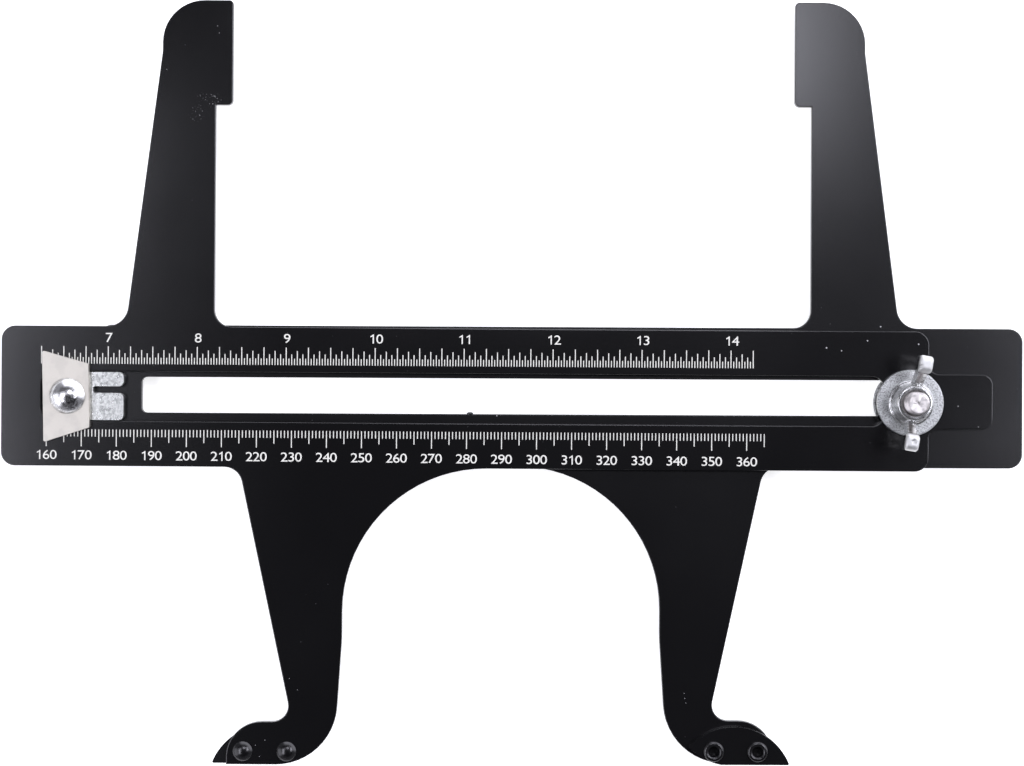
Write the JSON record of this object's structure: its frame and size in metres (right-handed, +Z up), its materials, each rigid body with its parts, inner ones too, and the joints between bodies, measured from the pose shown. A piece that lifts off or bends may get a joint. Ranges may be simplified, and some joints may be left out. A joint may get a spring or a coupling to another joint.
{
  "type": "brake drum gauge",
  "caption": "Sliding gauge of two flat black bars with jaw arms above, footed legs below, a printed scale with a pointer, and a wing nut clamp.",
  "frame": {"origin": "under the middle of the outline, on the surface that the gauge lies on", "axes": "+X along the bars towards the wing nut, +Y towards the jaws, +Z up out of the front face"},
  "size_m": [0.2922, 0.219, 0.0238],
  "materials": {
    "black_paint": "semi-gloss black baked paint",
    "tip_black": "black oxide, oiled",
    "rivet_black": "glossy black",
    "galvanised": "galvanised, grained",
    "satin_steel": "satin nickel plate",
    "polished_steel": "polished, slightly pitted",
    "bright_zinc": "bright zinc plate",
    "washer_zinc": "zinc plate, grained",
    "scale_print": "pale printed graduations"
  },
  "bodies": {
    "front_bar": {"front_plate": "black_paint", "front_foot_tip": "tip_black", "front_toe_rivet": "rivet_black", "front_heel_rivet": "rivet_black", "clamp_bolt": "bright_zinc", "rear_washer": "washer_zinc"},
    "rear_bar": {"rear_plate": "black_paint", "rear_foot_tip": "tip_black", "rear_toe_rivet": "rivet_black", "rear_heel_rivet": "rivet_black", "guide": "galvanised", "pointer": "satin_steel", "pointer_rivet": "polished_steel"},
    "clamp_washer": {"front_washer": "washer_zinc"},
    "clamp_nut": {"wing_nut": "bright_zinc"}
  },
  "joints": [
    {"name": "bar_slide", "type": "slide", "parent": "front_bar", "child": "rear_bar", "axis": [1, 0, 0], "range_m": [-0.0008, 0.2145]},
    {"name": "nut_lift", "type": "slide", "parent": "front_bar", "child": "clamp_washer", "axis": [0, 0, 1], "range_m": [0, 0.00445]},
    {"name": "nut_turn", "type": "hinge", "parent": "clamp_washer", "child": "clamp_nut", "pos_m": [0.1134, -0.00501, 0.0112], "axis": [0, 0, 1], "range_deg": [0, 1260]}
  ],
  "couplings": [
    {"joint": "nut_lift", "follows": "nut_turn", "m_per_rad": 0.00020213}
  ]
}
